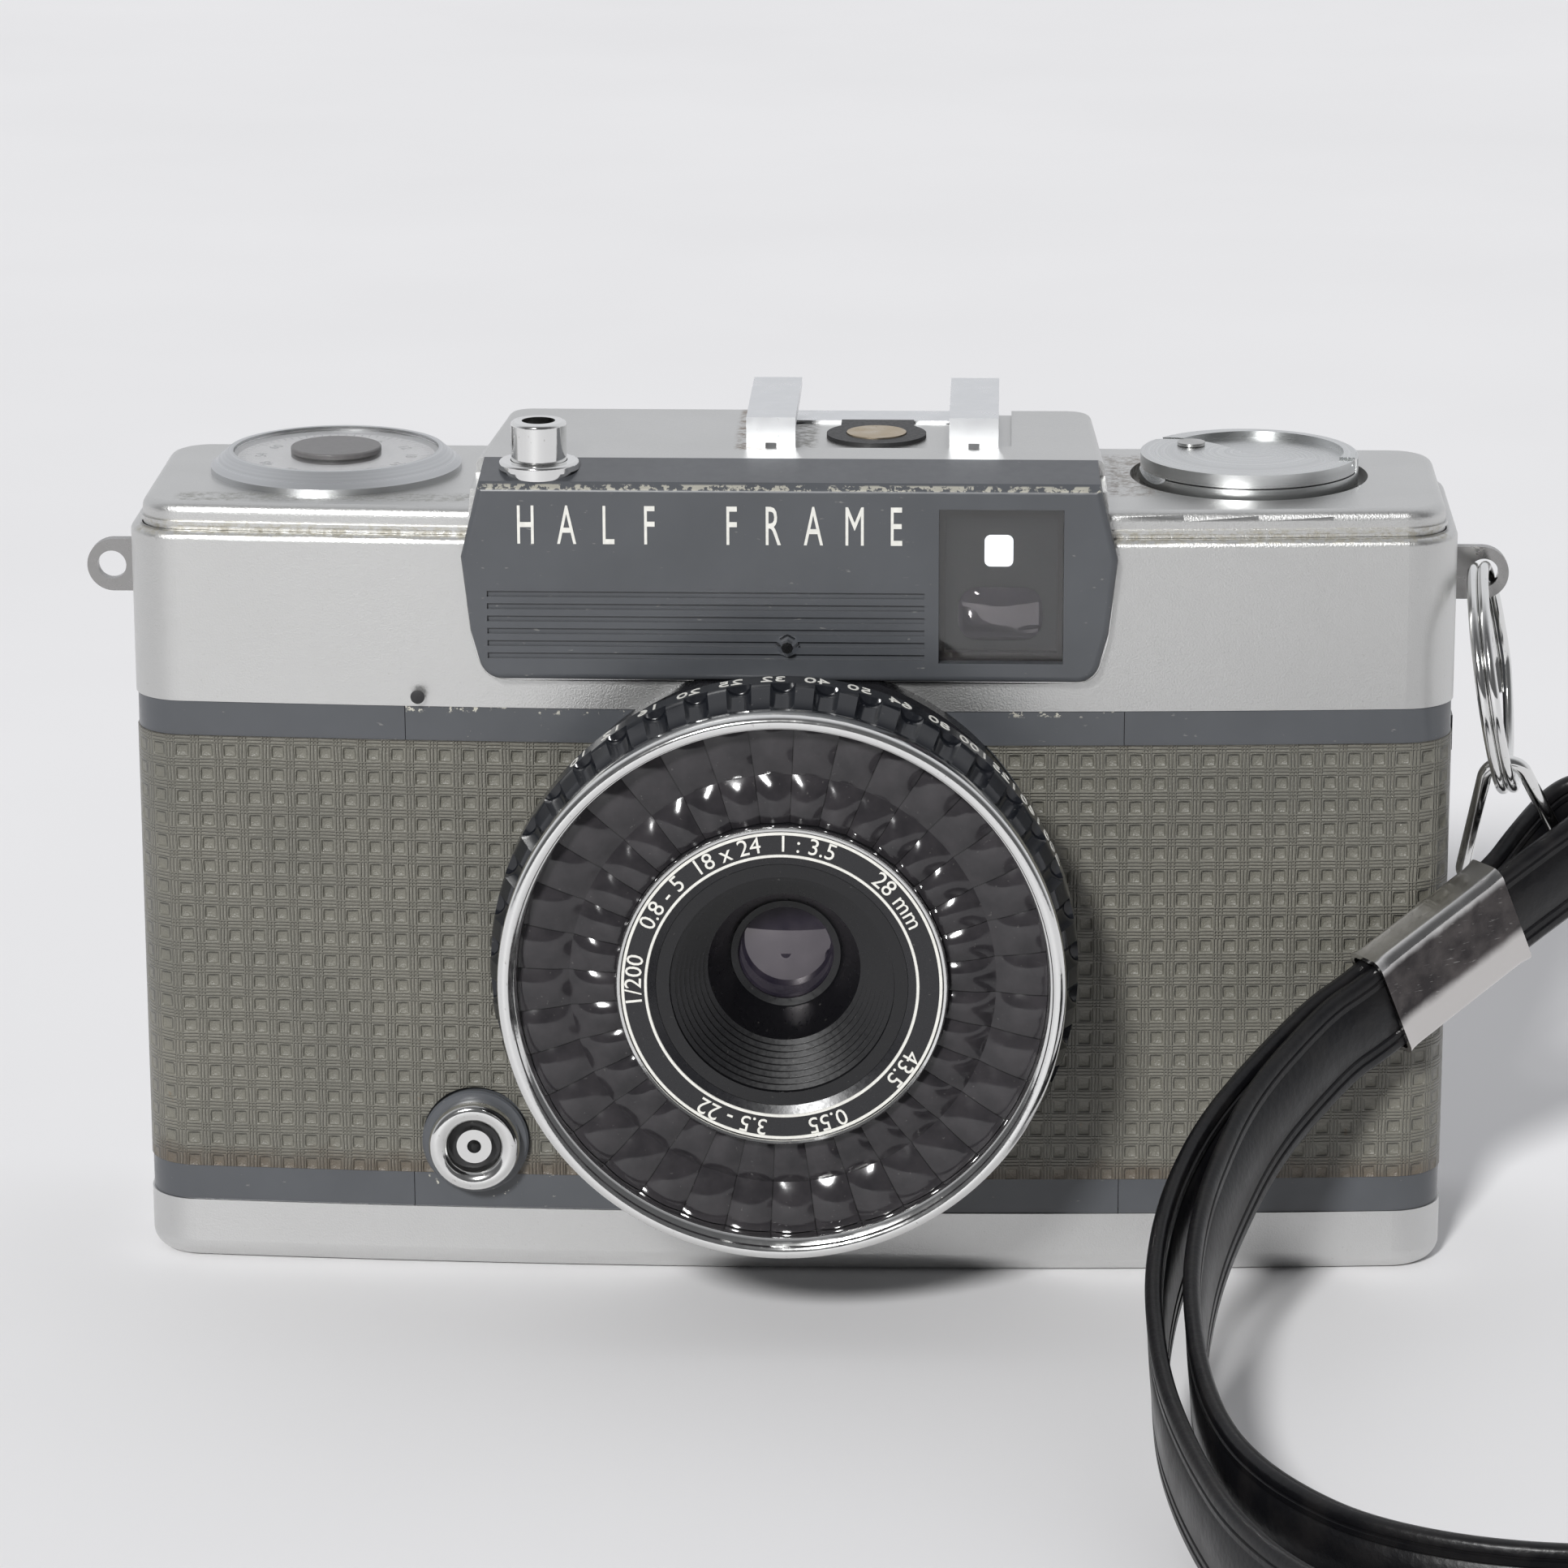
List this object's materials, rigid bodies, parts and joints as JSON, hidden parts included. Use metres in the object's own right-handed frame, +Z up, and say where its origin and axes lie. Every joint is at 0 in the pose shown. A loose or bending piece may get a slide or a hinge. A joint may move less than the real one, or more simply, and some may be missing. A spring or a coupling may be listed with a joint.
{
  "type": "half frame film camera",
  "caption": "Compact half frame film camera with a meter ring round its lens, raised finder housing, hot shoe, rewind crank, hinged back and a wrist strap on a split ring.",
  "frame": {"origin": "mouth of the tripod socket, in the middle of the camera's base, at mid depth of the covers", "axes": "+X to the right seen from in front, +Y from the front to the back, +Z up"},
  "size_m": [0.1644, 0.1226, 0.0719],
  "materials": {
    "alloy": "machined alloy",
    "enamel": "satin dark grey baked enamel",
    "casting": "die-cast alloy",
    "satin_chrome": "satin chromed plate, fine grain",
    "bright_chrome": "polished chrome",
    "clear_glass": "clear",
    "white_plastic": "grey-white dial plastic",
    "steel": "steel",
    "black_metal": "black finish on metal",
    "leatherette": "grey-olive embossed leatherette",
    "black_plastic": "black moulded plastic",
    "cell_face": "selenium cell behind clear cover",
    "brass": "brass",
    "strap_vinyl": "black grained vinyl"
  },
  "bodies": {
    "camera_body": {"body_casting": "casting", "bottom_cover": "satin_chrome", "button_collar": "bright_chrome", "counter_bezel": "alloy", "counter_crystal": "clear_glass", "counter_hub": "alloy", "cover_screws": "steel", "ferrule": "bright_chrome", "finder_eyepiece": "clear_glass", "finder_glass": "clear_glass", "finder_hood": "enamel", "finder_tube": "black_plastic", "front_bezel": "bright_chrome", "front_element": "clear_glass", "front_plate": "enamel", "hinge_pin": "steel", "index_stud": "bright_chrome", "leatherette_left": "leatherette", "leatherette_right": "leatherette", "lens_barrel": "black_metal", "lens_cone": "black_metal", "lens_mount": "black_metal", "meter_window": "clear_glass", "middle_element": "clear_glass", "name_ring": "black_metal", "rear_element": "clear_glass", "selenium_cell": "cell_face", "shoe_contact": "brass", "shoe_insulator": "black_plastic", "shoe_rails": "bright_chrome", "shutter_case": "black_metal", "side_panel_left": "enamel", "side_panel_right": "enamel", "split_ring": "bright_chrome", "strap": "strap_vinyl", "strap_lugs": "bright_chrome", "sync_contact": "bright_chrome", "sync_socket": "bright_chrome", "top_cover": "satin_chrome", "triangle_ring": "bright_chrome", "tripod_socket": "steel"},
    "release": {"shutter_button": "bright_chrome", "release_spring": "steel"},
    "speed_ring": {"film_speed_ring": "black_metal"},
    "lift": {"rewind_sleeve": "steel"},
    "rewinder": {"rewind_knob": "alloy", "rewind_fork": "steel"},
    "crank": {"rewind_crank": "alloy", "crank_rivet": "steel"},
    "door": {"back_door": "enamel", "door_leatherette": "leatherette", "pressure_plate": "black_metal"},
    "latch": {"door_latch": "black_metal"},
    "advance": {"advance_wheel": "alloy", "takeup_spool": "black_plastic"},
    "sprocket": {"film_sprocket": "alloy"},
    "counter": {"counter_dial": "white_plastic"},
    "release_pin": {"rewind_release": "alloy"},
    "blade_a": {"shutter_blade_a": "steel"},
    "blade_b": {"shutter_blade_b": "steel"}
  },
  "joints": [
    {"name": "button_press", "type": "slide", "parent": "camera_body", "child": "release", "axis": [0, 0, -1], "range_m": [0, 0.0024], "stiffness_N_per_m": 600, "springref_m": -0.002},
    {"name": "speed_ring_turn", "type": "hinge", "parent": "camera_body", "child": "speed_ring", "pos_m": [0, -0.0275, 0.0308], "axis": [0, -1, 0], "range_deg": [-60, 90]},
    {"name": "rewind_lift", "type": "slide", "parent": "camera_body", "child": "lift", "axis": [0, 0, 1], "range_m": [0, 0.0055]},
    {"name": "rewind_spin", "type": "hinge", "parent": "lift", "child": "rewinder", "pos_m": [0.0374, 0.0024, 0.065], "axis": [0, 0, 1], "continuous": true},
    {"name": "crank_fold", "type": "hinge", "parent": "rewinder", "child": "crank", "pos_m": [0.0293, 0.0024, 0.066], "axis": [0, -1, 0], "range_deg": [0, 100]},
    {"name": "door_swing", "type": "hinge", "parent": "camera_body", "child": "door", "pos_m": [-0.0534, 0.0046, 0.03], "axis": [0, 0, 1], "range_deg": [0, 110]},
    {"name": "latch_lift", "type": "slide", "parent": "door", "child": "latch", "axis": [0, 0, 1], "range_m": [0, 0.002]},
    {"name": "wheel_advance", "type": "hinge", "parent": "camera_body", "child": "advance", "pos_m": [-0.0382, 0.0027, 0.05], "axis": [0, 0, 1], "continuous": true},
    {"name": "sprocket_turn", "type": "hinge", "parent": "camera_body", "child": "sprocket", "pos_m": [-0.022, 0.0024, 0.03], "axis": [0, 0, 1], "continuous": true},
    {"name": "counter_turn", "type": "hinge", "parent": "camera_body", "child": "counter", "pos_m": [-0.0382, 0.0027, 0.065], "axis": [0, 0, 1], "continuous": true},
    {"name": "rewind_release_press", "type": "slide", "parent": "camera_body", "child": "release_pin", "axis": [0, 0, 1], "range_m": [0, 0.0012], "stiffness_N_per_m": 300, "springref_m": -0.001},
    {"name": "blade_a_swing", "type": "hinge", "parent": "camera_body", "child": "blade_a", "pos_m": [-0.0101, -0.0141, 0.027], "axis": [0, -1, 0], "range_deg": [0, 38]},
    {"name": "blade_b_swing", "type": "hinge", "parent": "camera_body", "child": "blade_b", "pos_m": [0.0101, -0.0151, 0.0346], "axis": [0, -1, 0], "range_deg": [0, 38]}
  ],
  "couplings": [
    {"joint": "sprocket_turn", "follows": "wheel_advance", "ratio": 1.4},
    {"joint": "counter_turn", "follows": "wheel_advance", "ratio": 0.05},
    {"joint": "blade_b_swing", "follows": "blade_a_swing", "ratio": 1}
  ]
}
